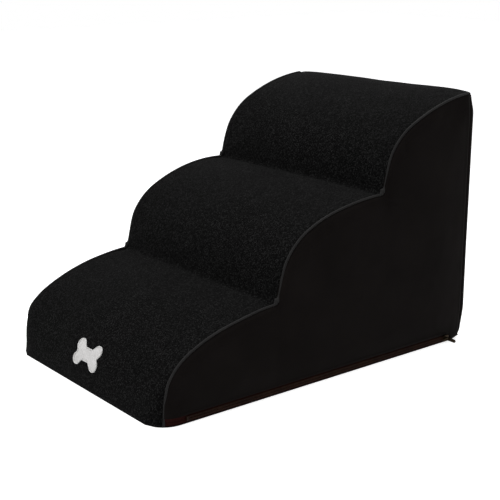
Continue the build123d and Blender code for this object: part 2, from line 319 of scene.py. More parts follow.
def tread_fullness(distance, along):
    """How far the stuffed cover stands out from its flat form."""
    reach = tread_reach(along, distance)
    share = min(1.0, abs(distance) / reach)
    edge = reach - abs(distance)
    rear = ease(along, COVER_END - 0.12, COVER_END - 0.01)
    free = 0.15 + 0.85 * ease(crease_gap(along), 0.004, 0.060)
    free *= ease(along, 0.0, 0.050)
    crown = (CROWN * free * (1.0 - rear) + REAR_CROWN * rear) * (1.0 - share ** (2.4 + 3.0 * rear))
    roll = -0.0015 * math.exp(-edge / 0.0025)
    slow = 0.0007 * waviness(distance, along, 1.7, 0.055) * free * ease(edge, 0.0, 0.03)
    pucker = 0.0
    for crease in CREASES:
        gap = along - crease
        pull = math.exp(-edge / 0.014) * hill(gap, 0.022)
        pucker += pull * (0.0008 * math.cos(gap / 0.0014) - 0.0022)
    gather = 0.00025 * math.sin(along / 0.0019 + 2.0 * waviness(along, 3.1, 0.0, 0.02))
    gather *= math.exp(-edge / 0.006)
    return crown + roll + slow + pucker + gather


def tread_form(distance, along):
    """A point of the treads' plain form, before stuffing, and its outward direction."""
    point = line_point(along)
    heading = line_heading(along)
    if along < SEAM_TOP_ALONG:
        plan, angle = across_point(distance, point.x, seam_setback(point.y))
    else:
        plan, angle = Vector((distance, point.x)), 0.0
    out = Vector((heading.y * math.sin(angle), -heading.y * math.cos(angle), heading.x))
    out = out.lerp(Vector((0.0, 0.0, 1.0)), ease(along, COVER_END - 0.02, COVER_END - 0.004))
    return Vector((plan.x, FRONT_Y + plan.y, point.y)), out.normalized()


def seam_form(along, sign):
    """A point of the seam with one side panel, as if on the right, and its outward direction."""
    return tread_form(tread_reach(along, sign), along)


def tread_surface(distance, along, lift=0.0):
    """A point of the treads' outside: distance from the middle and along the stairs' line."""
    place, out = tread_form(distance, along)
    place = settled(place + out * (lift + tread_fullness(distance, along)))
    if tread_movement:
        across = 0.5 + 0.5 * distance / tread_reach(along, distance)
        place += tread_movement(across, (along - COVER_START) / COVER_LENGTH)
    return place


# ---- making pieces

def cloth_grid(name, across_cells, along_cells, place, wrong_side=False):
    """A sheet whose grid points are moved to place(across, along), each 0 to 1.

    place gives the point in space and the point on the flat cloth, in metres."""
    sheet = bmesh.new()
    bmesh.ops.create_grid(sheet, x_segments=across_cells, y_segments=along_cells, size=0.5)
    flat = {}
    for vert in sheet.verts:
        vert.co, flat[vert] = place(vert.co.x + 0.5, vert.co.y + 0.5)
    cloth = sheet.loops.layers.uv.new("cloth")
    for face in sheet.faces:
        for loop in face.loops:
            loop[cloth].uv = flat[loop.vert]
        face.smooth = True
    if wrong_side:
        bmesh.ops.reverse_faces(sheet, faces=sheet.faces)
    return finish_piece(name, sheet)


def finish_piece(name, shape):
    """Turns a bmesh into an object at the origin."""
    mesh = bpy.data.meshes.new(name)
    shape.to_mesh(mesh)
    shape.free()
    piece = bpy.data.objects.new(name, mesh)
    bpy.context.scene.collection.objects.link(piece)
    return piece


def join_doubles(piece):
    """Joins a sheet's points that lie on each other, as where a ring closes."""
    shape = bmesh.new()
    shape.from_mesh(piece.data)
    bmesh.ops.remove_doubles(shape, verts=shape.verts, dist=2e-6)
    bmesh.ops.dissolve_degenerate(shape, edges=shape.edges, dist=1e-6)
    shape.to_mesh(piece.data)
    shape.free()


def thicken(piece, thickness):
    """Gives a sheet its thickness, inwards from the modelled outside."""
    wall = piece.modifiers.new("thickness", "SOLIDIFY")
    wall.thickness = thickness
    wall.offset = -1.0


def close_shape(shape):
    """Joins a bmesh's doubled points, closes its open ends and turns its faces outward."""
    bmesh.ops.remove_doubles(shape, verts=shape.verts, dist=1e-6)
    bmesh.ops.holes_fill(shape, edges=[edge for edge in shape.edges if edge.is_boundary])
    bmesh.ops.recalc_face_normals(shape, faces=shape.faces)


def repeated(piece, label, count, offset):
    """Repeats a piece count times, each offset from the one before."""
    row = piece.modifiers.new(label, "ARRAY")
    row.use_relative_offset = False
    row.use_constant_offset = True
    row.count = count
    row.constant_offset_displace = offset


def dress(piece, material, slot, body, *nodes):
    """Gives a piece its material and its place among the parts."""
    piece.data.materials.clear()
    piece.data.materials.append(material)
    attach(piece, body)
    if nodes:
        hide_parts(*nodes)


# ---- materials

class Nodes:
    """A node tree, and the ways in which the looks below add to it."""

    def __init__(self, tree):
        self.tree = tree

    def feed(self, socket, value):
        """Sets a socket to a value, or links another socket to it."""
        if isinstance(value, bpy.types.NodeSocket):
            self.tree.links.new(value, socket)
        else:
            socket.default_value = value

    def add(self, kind, **values):
        """A node with its settings and, under the names of its sockets, what they are fed."""
        made = self.tree.nodes.new("ShaderNode" + kind)
        for key, value in values.items():
            if hasattr(made, key):
                setattr(made, key, value)
            else:
                self.feed(made.inputs[key.replace("_", " ")], value)
        return made

    def calc(self, operation, first, second=0.0, clamp=False):
        """A Math node on two sockets or numbers."""
        made = self.add("Math", operation=operation, use_clamp=clamp)
        self.feed(made.inputs[0], first)
        self.feed(made.inputs[1], second)
        return made.outputs[0]

    def mixed(self, *parts):
        """The sum of some sockets, each times its share."""
        total = self.calc("MULTIPLY", *parts[0])
        for part in parts[1:]:
            total = self.calc("ADD", total, self.calc("MULTIPLY", *part))
        return total

    def ramp(self, factor, stops):
        """A colour ramp from (position, colour) pairs."""
        made = self.add("ValToRGB", Fac=factor)
        elements = made.color_ramp.elements
        while len(elements) < len(stops):
            elements.new(0.5)
        for element, (position, colour) in zip(elements, stops):
            element.position = position
            element.color = (*colour, 1.0)
        return made.outputs["Color"]

    def in_view(self):
        """1 for what the camera sees, straight or by way of a shiny or clear surface, else 0."""
        ray = self.add("LightPath").outputs
        seen = self.calc("MAXIMUM", ray["Is Camera Ray"], ray["Is Glossy Ray"])
        return self.calc("MAXIMUM", seen, ray["Is Transmission Ray"])


def new_group(name, inputs, outputs):
    """An empty node group with number inputs (a vector where the default is None)."""
    tree = bpy.data.node_groups.new(name, "ShaderNodeTree")
    for label, default in inputs:
        kind = "NodeSocketVector" if default is None else "NodeSocketFloat"
        socket = tree.interface.new_socket(name=label, in_out="INPUT", socket_type=kind)
        if default is not None:
            socket.default_value = default
    for label in outputs:
        tree.interface.new_socket(name=label, in_out="OUTPUT", socket_type="NodeSocketFloat")
    given, out = tree.nodes.new("NodeGroupInput"), tree.nodes.new("NodeGroupOutput")
    return Nodes(tree), given.outputs, out.inputs


def knit_group():
    """Coarse knit: loops in staggered columns, with stray light fibres, and a mask of painted shade
    in the gaps between the loops.
    """
    nodes, given, out = new_group(
        "knit_loops",
        (("Cloth", None), ("Loop Size", 0.0015), ("Unevenness", 0.35)),
        ("Height", "Fleck", "Valley Shade"),
    )
    calc, cloth, size = nodes.calc, given["Cloth"], given["Loop Size"]
    wander = nodes.add("TexNoise", Vector=cloth, Scale=260.0, Detail=2.0)
    push = nodes.add("VectorMath", operation="SCALE",
                     Scale=calc("MULTIPLY", given["Unevenness"], size))
    nodes.feed(push.inputs[0], wander.outputs["Color"])
    moved = nodes.add("VectorMath", operation="ADD")
    nodes.feed(moved.inputs[0], cloth)
    nodes.feed(moved.inputs[1], push.outputs[0])
    loops = nodes.add("TexVoronoi", feature="F1", Randomness=0.45, Vector=moved.outputs[0],
                      Scale=calc("DIVIDE", 1.0, size))
    near = loops.outputs["Distance"]
    fibres = nodes.add("TexNoise", Vector=cloth, Scale=2600.0, Detail=2.0, Roughness=0.6)
    fibres = fibres.outputs["Fac"]
    height = calc("SUBTRACT", 1.0, calc("MULTIPLY", near, near), clamp=True)
    nodes.feed(out["Height"], calc("ADD", height, calc("MULTIPLY", fibres, 0.35)))
    shade = nodes.add("SeparateColor", Color=loops.outputs["Color"]).outputs["Red"]
    fleck = calc("MULTIPLY", shade, calc("SUBTRACT", 1.05, near))
    nodes.feed(out["Fleck"], calc("MULTIPLY", fleck, calc("ADD", fibres, 0.5)))
    # Painted shade: 1 in the gaps between the loops, where the knit's colour is made darker.
    nodes.feed(out["Valley Shade"], calc("GREATER_THAN", near, 0.62))
    return nodes.tree


def weave_group():
    """Plain weave: warp and weft threads going over and under each other."""
    nodes, given, out = new_group(
        "plain_weave", (("Cloth", None), ("Thread Size", 0.0005)), ("Height", "Crossing"),
    )
    calc = nodes.calc
    parts = nodes.add("SeparateXYZ", Vector=given["Cloth"]).outputs
    turns = calc("DIVIDE", math.pi, given["Thread Size"])
    warp, weft = (calc("SINE", calc("MULTIPLY", parts[axis], turns)) for axis in "XY")
    crossing = calc("MULTIPLY", warp, weft)
    nodes.feed(out["Crossing"], calc("ABSOLUTE", crossing))
    fuzz = nodes.add("TexNoise", Vector=given["Cloth"], Scale=3000.0, Detail=2.0).outputs["Fac"]
    level = calc("ADD", calc("MULTIPLY", crossing, 0.5), 0.5)
    nodes.feed(out["Height"], calc("ADD", level, calc("MULTIPLY", fuzz, 0.3)))
    return nodes.tree


def tone_group():
    """Slow change of tone over a piece, as handling and dust leave it, and a fine grain."""
    nodes, given, out = new_group(
        "slow_tone", (("Place", None), ("Size", 0.12), ("Grain", 0.02)), ("Tone", "Fine"),
    )
    for label, target, detail in (("Size", "Tone", 3.0), ("Grain", "Fine", 2.0)):
        wander = nodes.add("TexNoise", Vector=given["Place"], Detail=detail, Roughness=0.55,
                           Scale=nodes.calc("DIVIDE", 1.0, given[label]))
        nodes.feed(out[target], wander.outputs["Fac"])
    return nodes.tree


KNIT_LOOPS = knit_group()
PLAIN_WEAVE = weave_group()
SLOW_TONE = tone_group()


class Surface(Nodes):
    """A material in the making: its Principled shader and what its nodes read.

    place is "cloth" for the flat cloth's own coordinates in metres, or "piece" for the place in
    the frame. size and grain are those of the slow change of tone."""

    def __init__(self, name, place=None, size=None, grain=None, **values):
        self.material = bpy.data.materials.new(name)
        self.material.use_nodes = True
        super().__init__(self.material.node_tree)
        self.shader = self.tree.nodes["Principled BSDF"]
        self.shade(**values)
        if place == "cloth":
            self.place = self.add("UVMap", uv_map="cloth").outputs["UV"]
        elif place == "piece":
            self.place = self.add("TexCoord").outputs["Object"]
        if size:
            tone = self.group(SLOW_TONE, Size=size, Grain=grain)
            self.tone, self.fine = tone["Tone"], tone["Fine"]

    def shade(self, **values):
        """Feeds the shader's sockets."""
        for key, value in values.items():
            self.feed(self.shader.inputs[key.replace("_", " ")], value)

    def group(self, group, **values):
        """The outputs of a group that reads the surface's place."""
        made = self.add("Group", node_tree=group, **values)
        self.feed(made.inputs[0], self.place)
        return made.outputs

    def ribs(self, across, along, turns=1.0):
        """Fine ridges that run over the cloth at a slant."""
        parts = self.add("SeparateXYZ", Vector=self.place).outputs
        slant = self.mixed((parts["X"], across), (parts["Y"], along))
        return self.calc("ABSOLUTE", self.calc("SINE", self.calc("MULTIPLY", slant, turns)))

    def finish(self, tone, stops, height, depth, strength=1.0, rough=None):
        """Feeds the shader its colour, its relief and, from the fine grain, its roughness."""
        self.shade(Base_Color=self.ramp(tone, stops))
        if rough:
            share, least = rough
            self.shade(Roughness=self.calc("ADD", self.calc("MULTIPLY", self.fine, share), least))
        bump = self.add("Bump", Strength=strength, Distance=depth, Height=height)
        self.shade(Normal=bump.outputs["Normal"])
        return self.material


def grey(value):
    """A colour with no hue."""
    return (value, value, value)


def knit_material():
    """The treads' coarse black knit."""
    look = Surface("coarse_knit", "cloth", 0.09, 0.008, Roughness=0.92, Sheen_Weight=0.012,
                   Sheen_Roughness=0.5, Specular_IOR_Level=0.02)
    loops = look.group(KNIT_LOOPS, Loop_Size=0.0018, Unevenness=0.22)
    # The last term darkens the colour in the gaps between the loops: painted shade.
    tone = look.mixed((look.tone, 0.16), (loops["Fleck"], 0.95), (loops["Valley Shade"], -0.12))
    stops = ((0.06, grey(0.0009)), (0.32, grey(0.0022)), (0.62, grey(0.0082)), (1.0, grey(0.03)))
    return look.finish(tone, stops, loops["Height"], 0.0005, 0.9)


def smooth_cloth(name, dark, light, thread=0.00045, roughness=0.6, depth=0.00006, gloss=0.015):
    """Tightly woven dark cloth for the sides, the back, the base and the piping."""
    look = Surface(name, "cloth", 0.11, 0.004, Sheen_Weight=0.01, Sheen_Roughness=0.4,
                   Specular_IOR_Level=gloss)
    weave = look.group(PLAIN_WEAVE, Thread_Size=thread)
    tone = look.mixed((look.tone, 0.7), (weave["Crossing"], 0.25), (look.fine, 0.2))
    return look.finish(tone, ((0.25, dark), (0.9, light)), weave["Height"], depth, 0.8,
                       rough=(0.15, roughness - 0.07))


def felt_material():
    """The pale bone figure: pressed fibre."""
    look = Surface("bone_felt", "cloth", 0.018, 0.002, Roughness=0.9, Sheen_Weight=0.2)
    stretched = look.add("Mapping", Vector=look.place, Scale=(1.0, 0.35, 1.0)).outputs[0]
    fibres = look.add("TexNoise", Vector=stretched, Scale=2200.0, Detail=4.0, Roughness=0.7,
                      Distortion=1.2).outputs["Fac"]
    stops = ((0.3, (0.55, 0.54, 0.535)), (0.7, (0.745, 0.735, 0.73)))
    return look.finish(look.mixed((fibres, 0.6), (look.tone, 0.4)), stops, fibres, 0.0002)


def satin_stitch_material():
    """Close stitches laid side by side across the figure's edge."""
    look = Surface("satin_stitch", "cloth", 0.006, 0.0006, Roughness=0.55, Sheen_Weight=0.3)
    thread = look.ribs(1.0, 0.35, 5600.0)
    tone = look.calc("MULTIPLY", thread, look.calc("ADD", look.fine, 0.4))
    stops = ((0.1, (0.52, 0.51, 0.50)), (0.8, (0.86, 0.85, 0.84)))
    return look.finish(tone, stops, thread, 0.00018)


def tape_material():
    """Brown twill tape of the zip."""
    look = Surface("zip_tape", "cloth", 0.02, 0.002, Roughness=0.85, Specular_IOR_Level=0.02)
    rib = look.ribs(1.0, 1.0, 3600.0)
    weave = look.group(PLAIN_WEAVE, Thread_Size=0.0004)
    tone = look.calc("MULTIPLY", rib, look.calc("ADD", look.tone, 0.3))
    stops = ((0.05, (0.0080, 0.0026, 0.0022)), (0.9, (0.0270, 0.0078, 0.0068)))
    return look.finish(tone, stops, look.mixed((rib, 1.0), (weave["Height"], 0.5)), 0.00012)


def teeth_material():
    """Brown moulded filament of the zip's teeth."""
    look = Surface("zip_teeth", "piece", 0.03, 0.0012, Specular_IOR_Level=0.06)
    stops = ((0.36, (0.0075, 0.0026, 0.0022)), (0.70, (0.036, 0.0160, 0.0080)))
    return look.finish(look.mixed((look.fine, 0.6), (look.tone, 0.4)), stops, look.fine, 0.00005,
                       rough=(0.3, 0.25))


def brass_material(name, dark, rubbed_bright):
    """Antique brass: dark in the recesses, rubbed bright where it is touched."""
    look = Surface(name, "piece", 0.004, 0.0007, Metallic=1.0)
    edge = look.add("NewGeometry").outputs["Pointiness"]
    rubbed = look.calc("MULTIPLY", look.calc("SUBTRACT", edge, 0.48), 6.0, clamp=True)
    middle = [0.8 * low + 0.2 * high for low, high in zip(dark, rubbed_bright)]
    return look.finish(look.mixed((look.tone, 0.8), (rubbed, 1.0)),
                       ((0.30, dark), (0.66, middle), (1.0, rubbed_bright)), look.fine, 0.00006,
                       rough=(0.35, 0.22))


def foam_material():
    """Cut foam with open pores."""
    look = Surface("cut_foam", "piece", 0.08, 0.006, Roughness=0.95)
    pores = look.add("TexVoronoi", feature="F1", Vector=look.place, Scale=600.0).outputs["Distance"]
    stops = ((0.2, (0.30, 0.28, 0.22)), (0.8, (0.62, 0.60, 0.50)))
    return look.finish(look.mixed((pores, 0.6), (look.tone, 0.5)), stops, pores, 0.0008)


def cord_material():
    """Twisted cotton inside the piping."""
    look = Surface("twisted_cotton", "cloth", Roughness=0.9, Sheen_Weight=0.2)
    strand = look.ribs(1180.0, 900.0)
    stops = ((0.0, (0.25, 0.24, 0.22)), (1.0, (0.60, 0.58, 0.54)))
    return look.finish(strand, stops, strand, 0.0003)


def grip_material():
    """Moulded rubber dots under the base cloth."""
    look = Surface("grip_dots", "piece", 0.05, 0.0015)
    return look.finish(look.tone, ((0.3, grey(0.012)), (0.7, grey(0.03))), look.fine, 0.00008,
                       rough=(0.3, 0.35))


knit = knit_material()
side_cloth = smooth_cloth("side_cloth", (0.0030, 0.0024, 0.0023), (0.0090, 0.0074, 0.0069))
back_cloth = smooth_cloth("back_cloth", (0.0034, 0.0027, 0.0026), (0.0098, 0.0080, 0.0075))
base_cloth = smooth_cloth("base_cloth", grey(0.006), grey(0.016), thread=0.0009, roughness=0.85,
                          depth=0.0002)
piping_cloth = smooth_cloth("piping_cloth", (0.0094, 0.0092, 0.0092), (0.0245, 0.0241, 0.0241),
                            thread=0.0004, roughness=0.45, gloss=0.04)
felt = felt_material()
satin_stitch = satin_stitch_material()
zip_tape = tape_material()
zip_teeth = teeth_material()
brass = brass_material("antique_brass", (0.0034, 0.0025, 0.0017), (0.0240, 0.0158, 0.0074))
dark_brass = brass_material("dark_brass", (0.006, 0.0035, 0.003), (0.030, 0.018, 0.012))
foam = foam_material()
cotton = cord_material()
grip = grip_material()


# ---- pressing the cloth out

PRESS_FRAMES = 20
PRESSURE = 4.0


def pressed_out(name, across_cells, along_cells, place, held, cap, wrong_side=False):
    """How far a coarse sheet moves, held at its seams, with the filling pressing behind it.

    Returns a function of (across, along), each 0 to 1, that gives the movement there."""
    spots = []

    def recorded(across, along):
        spots.append((across, along))
        return place(across, along)

    sheet = cloth_grid(name, across_cells, along_cells, recorded, wrong_side)
    pins = sheet.vertex_groups.new(name="held")
    for index, spot in enumerate(spots):
        pins.add([index], held(*spot), "REPLACE")
    cloth = sheet.modifiers.new("cloth", "CLOTH")
    cloth.settings.quality = 5
    cloth.settings.mass = 0.3
    cloth.settings.use_pressure = True
    cloth.settings.uniform_pressure_force = PRESSURE
    cloth.settings.effector_weights.gravity = 0.0
    cloth.settings.vertex_group_mass = "held"
    cloth.settings.tension_stiffness = cloth.settings.compression_stiffness = 20.0
    cloth.settings.bending_stiffness = 1.0
    cloth.point_cache.frame_end = PRESS_FRAMES
    for number in range(1, PRESS_FRAMES + 1):
        bpy.context.scene.frame_set(number)
    result = sheet.evaluated_get(bpy.context.evaluated_depsgraph_get()).to_mesh()
    moves = {}
    for index, (across, along) in enumerate(spots):
        move = result.vertices[index].co - sheet.data.vertices[index].co
        move *= cap / (cap + move.length)
        moves[round(across * across_cells), round(along * along_cells)] = move
    bpy.data.objects.remove(sheet)
    bpy.context.scene.frame_set(1)

    def movement(across, along):
        column, row = across * across_cells, along * along_cells
        left = min(across_cells - 1, max(0, int(column)))
        low = min(along_cells - 1, max(0, int(row)))
        share, rise = min(1.0, max(0.0, column - left)), min(1.0, max(0.0, row - low))
        share, rise = ease(share, 0.0, 1.0), ease(rise, 0.0, 1.0)
        below = moves[left, low].lerp(moves[left + 1, low], share)
        above = moves[left, low + 1].lerp(moves[left + 1, low + 1], share)
        return below.lerp(above, rise)

    return movement


def seam_held(across, along):
    """A plain panel is held all round at its seams."""
    edge = min(across, 1.0 - across, along, 1.0 - along)
    return 1.0 - ease(edge, 0.0, 0.03)


# ---- the tread cover

def tread_place(across, along):
    """The tread cover's grid."""
    along = COVER_START + along * COVER_LENGTH
    across = across * 2.0 - 1.0
    distance = across * tread_reach(along, across)
    return tread_surface(distance, along), Vector((distance, along))


def tread_held(across, along):
    """The cover is held at its seams and in its two creases."""
    along = COVER_START + along * COVER_LENGTH
    edge = min(across, 1.0 - across) * 2.0 * HALF_WIDTH
    end = min(along - COVER_START, COVER_END - along)
    free = ease(crease_gap(along), 0.003, 0.020) * ease(edge, 0.0, 0.012) * ease(end, 0.0, 0.010)
    return 1.0 - free


tread_movement = pressed_out("pressed_cover", 62, 122, tread_place, tread_held, TREAD_CAP)
tread_cover = cloth_grid("tread_cover_cloth", 136, 260, tread_place)
thicken(tread_cover, TREAD_CLOTH)
dress(tread_cover, knit, "tread_knit", "stairs", "tread_cover")


# ---- the side panels

def measuring_tree(points):
    """A tree that finds the nearest of some points of the side view."""
    tree = kdtree.KDTree(len(points))
    for index, point in enumerate(points):
        tree.insert((point.x, point.y, 0.0), index)
    tree.balance()
    return tree


OUTLINE_TREE = measuring_tree(LINE[::2])
SEAM_STEPS = [COVER_START + index / 300 * (SEAM_END - COVER_START) for index in range(301)]


def seam_tree(sign):
    """A tree that finds the nearest place of one side's seam."""
    places = [seam_form(along, sign)[0] for along in SEAM_STEPS]
    return measuring_tree([Vector((place.y - FRONT_Y, place.z)) for place in places])


SEAM_TREES = {1.0: seam_tree(1.0), -1.0: seam_tree(-1.0)}


def side_face(y, z, sign):
    """How far out the foam's side is at a point of the side view, with its rounded edges."""
    x = HALF_WIDTH
    if y < CORNER_RADIUS:
        x = CORNER_CENTRE_X + CORNER_RADIUS * math.sin(corner_angle(max(0.0, y)))
    _, index, depth = OUTLINE_TREE.find((y, z, 0.0))
    rounding = max(0.0001, edge_rounding(LINE_LENGTHS[index * 2], sign))
    missing = max(0.0, rounding - depth)
    return x - rounding + math.sqrt(rounding ** 2 - min(missing, rounding) ** 2)


def side_bulge(y, z, hem, sign):
    """How far the side cloth stands out, from the pull of the foam and of its seams."""
    edge = SEAM_TREES[sign].find((y, z, 0.0))[2]
    rear_edge = BACK_SEAM_Y - y
    free = ease(z - hem, 0.0, 0.030) * ease(rear_edge, 0.0, 0.030) * ease(edge, 0.0, 0.02)
    full = 0.0018 * ease(edge, 0.0, 0.080) * ease(z - hem, 0.0, 0.030) * ease(rear_edge, 0.0, 0.06)
    tuck = 0.0006 * math.exp(-rear_edge / 0.002)
    slow = 0.0010 * waviness(y, z, 0.4, 0.065) + 0.0004 * waviness(y, z, 2.4, 0.022)
    return full - tuck + slow * free + block_swell(y, z)


def side_folds(y, z):
    """The small folds that run back from the second crease, and those low at the front."""
    crease_y, crease_z = SECOND_CREASE
    back = y - crease_y
    fold = 0.0
    if back > 0.0:
        reach = math.exp(-back / 0.022) * ease(back, 0.001, 0.014)
        fold += 0.0030 * reach * hill(z - crease_z + 0.003 + 0.22 * back, 0.0024)
        fold += 0.0024 * reach * hill(z - crease_z + 0.012 + 0.40 * back, 0.0028)
    low = math.exp(-max(0.0, z - 0.030) / 0.030) * hill(y - 0.11, 0.08) * ease(z, 0.018, 0.035)
    fold += 0.0007 * low * math.sin(y / 0.009 + 3.0 * waviness(y, z, 5.0, 0.05))
    return fold


def lower_edge(hem, y):
    """Height of the side cloth's lower edge: behind the zip it comes down to the base."""
    return hem - (hem - BASE_TOP) * ease(y, ZIP_END_Y, ZIP_END_Y + 0.006)


def side_panel_place(sign, hem):
    """A side panel's grid, from the piping's seam down to its lower edge at the height hem."""
    first = first_along(1, hem)
    foot_y = seam_form(first, sign)[0].y - FRONT_Y

    def place(back, down):
        along = first + back * (SEAM_END - first)
        seam, out = seam_form(along, sign)
        seam -= out * SEAM_TUCK
        top = Vector((seam.y - FRONT_Y, seam.z))
        foot = Vector((foot_y + back * (BACK_SEAM_Y - foot_y), 0.0))
        foot.y = lower_edge(hem, foot.x)
        y, z = top.lerp(foot, down ** 1.6)
        x = side_face(y, z, sign) + side_bulge(y, z, hem, sign) + side_folds(y, z)
        gap = math.hypot(y - top.x, z - top.y)
        shift = seam.x - side_face(top.x, top.y, sign) - side_bulge(top.x, top.y, hem, sign)
        x += shift * math.exp(-(gap / 0.0035) ** 2)
        length = x - HALF_WIDTH + (0.0 if y > CORNER_RADIUS else y - CORNER_RADIUS)
        return settled(Vector((sign * x, FRONT_Y + y, z))), Vector((y, z + length))

    return place


def inward(along):
    """The direction into the foam, seen from the side."""
    heading = line_heading(along)
    return Vector((heading.y, -heading.x))


def pressed_panel(name, cells, coarse, place, wrong_side=False):
    """A panel sewn in all round and pressed out by the foam."""
    movement = pressed_out(name + "_pressed", *coarse, place, seam_held, PANEL_CAP, wrong_side)

    def moved(across, along):
        point, flat = place(across, along)
        return point + movement(across, along), flat

    panel = cloth_grid(name, *cells, moved, wrong_side)
    join_doubles(panel)
    return panel


SIDE_CELLS, SIDE_COARSE = (260, 96), (96, 26)
side_right = pressed_panel("side_cloth_right", SIDE_CELLS, SIDE_COARSE,
                           side_panel_place(1.0, ZIP_HEM_Z), wrong_side=True)
thicken(side_right, SIDE_CLOTH)
dress(side_right, side_cloth, "side_cloth", "stairs", "side_panel_right")
side_left = pressed_panel("side_cloth_left", SIDE_CELLS, SIDE_COARSE,
                          side_panel_place(-1.0, BASE_TOP))
thicken(side_left, SIDE_CLOTH)
dress(side_left, side_cloth, "side_cloth", "stairs", "side_panel_left")


# ---- the back panel

BACK_TOP = 0.3958


def back_place(across, up):
    """The back panel, round both rear corners, with its crowned top edge."""
    corner = REAR_CORNER_RADIUS * math.pi / 2.0
    flat_half = HALF_WIDTH - REAR_CORNER_RADIUS
    reach = flat_half + corner
    distance = (across * 2.0 - 1.0) * reach
    beyond = max(0.0, abs(distance) - flat_half)
    angle = beyond / REAR_CORNER_RADIUS
    side = 1.0 if distance >= 0.0 else -1.0
    x = side * (min(abs(distance), flat_half) + REAR_CORNER_RADIUS * math.sin(angle))
    y = -FRONT_Y - REAR_CORNER_RADIUS * (1.0 - math.cos(angle))
    share = abs(x) / HALF_WIDTH
    top = BACK_TOP + REAR_CROWN * max(0.0, 1.0 - share ** 5.4)
    z = BASE_TOP + up * (top - BASE_TOP)
    if z < REAR_FOOT_RADIUS:
        y -= REAR_FOOT_RADIUS - math.sqrt(REAR_FOOT_RADIUS ** 2 - (REAR_FOOT_RADIUS - z) ** 2)
    edge = min(top - z, reach - abs(distance))
    swell = block_swell(DEPTH, z)
    full = swell + 0.6 * swell * math.sin(2.0 * angle)
    full += 0.0022 * (1.0 - share ** 2.2) * ease(up, 0.0, 0.35) * ease(top - z, 0.0, 0.10)
    full += 0.0008 * waviness(x, z, 7.0, 0.075) * ease(edge, 0.0, 0.04)
    full -= 0.0008 * math.exp(-edge / 0.0022)
    out = Vector((side * math.sin(angle), math.cos(angle), 0.0))
    return settled(Vector((x, y, z)) + out * full), Vector((distance, z))


back_panel = pressed_panel("back_cloth_panel", (120, 110), (64, 60), back_place, wrong_side=True)
thicken(back_panel, SIDE_CLOTH)
dress(back_panel, back_cloth, "back_cloth", "stairs", "back_panel")


# ---- the piping

def piping_path(sign, along):
    """The piping's middle at a distance along the stairs' line."""
    place, out = seam_form(along, sign)
    sunk = 0.0
    for foot in [COVER_START] + CREASES:
        rise = ease(along - foot, 0.003, 0.009)
        sunk += PIPING_SUNK * rise * ease(foot + 0.065 - along, 0.0, 0.035)
    place -= out * (PIPING_SEAT + sunk)
    return settled(Vector((sign * place.x, place.y, place.z)))


def sheath_fold(along, turn):
    """The sheath's small unevenness, and its gathered lumps at the creases."""
    size = 0.05 * math.sin(along / 0.0011 + 1.5 * math.sin(turn))
    size *= 0.4 + waviness(along, 0, 0, 0.03)
    for crease in CREASES:
        gap = along - crease
        size += 1.15 * hill(gap - 0.0040, 0.0044) * (1.0 + 0.22 * math.cos(gap / 0.0006 + turn))
        size += 0.16 * hill(gap, 0.010) * math.cos(gap / 0.0008)
    return size


def close_tube(tube):
    """Joins a tube's long seam and closes its ends."""
    shape = bmesh.new()
    shape.from_mesh(tube.data)
    close_shape(shape)
    shape.to_mesh(tube.data)
    shape.free()


def piping_tube(name, sign, radius, around_cells, along_cells, fold=None):
    """A closed tube along one edge of the treads; fold(along, turn) makes it uneven."""
    def place(around, onward):
        along = COVER_START + onward * (SEAM_END - COVER_START)
        middle = piping_path(sign, along)
        ahead = piping_path(sign, min(along + 0.001, SEAM_END))
        heading = (ahead - piping_path(sign, max(along - 0.001, COVER_START))).normalized()
        sideways = (Vector((1.0, 0.0, 0.0)) - heading * heading.x).normalized()
        up = heading.cross(sideways)
        turn = around * 2.0 * math.pi
        uneven = 1.0 + fold(along, turn) if fold else 1.0
        size = radius * uneven * (0.25 + 0.75 * ease(SEAM_END - along, 0.0, 0.004))
        point = middle + (sideways * math.cos(turn) + up * math.sin(turn)) * size
        return point, Vector((turn * radius, along))

    tube = cloth_grid(name, around_cells, along_cells, place)
    close_tube(tube)
    return tube


for label, sign in (("right", 1.0), ("left", -1.0)):
    sheath = piping_tube("piping_sheath_" + label, sign, PIPING_RADIUS, 14, 700, sheath_fold)
    dress(sheath, piping_cloth, "piping_cloth", "stairs", "piping_" + label)
    cord = piping_tube("piping_filler_" + label, sign, CORD_RADIUS, 8, 300)
    dress(cord, cotton, "piping_core", "stairs", "piping_cord_" + label)


# ---- the foam block

FOAM_GAP = 0.0032
FOAM_EDGE = 0.012
FOAM_HALF = HALF_WIDTH - FOAM_GAP


def foam_ring(inset):
    """The foam's side view, all round, pulled in by inset."""
    ring = []
    for index in range(151):
        along = COVER_START + 0.002 + index / 150 * (COVER_END - COVER_START - 0.008)
        ring.append(line_point(along) + inward(along) * inset)
    rear, floor = DEPTH - inset, BASE_TOP - 0.0018 + inset
    ring += [Vector((rear, 0.30)), Vector((rear, 0.15)), Vector((rear, floor + 0.012))]
    ring += [Vector((rear - 0.012, floor)), Vector((0.30, floor)), Vector((inset + 0.004, floor))]
    return ring


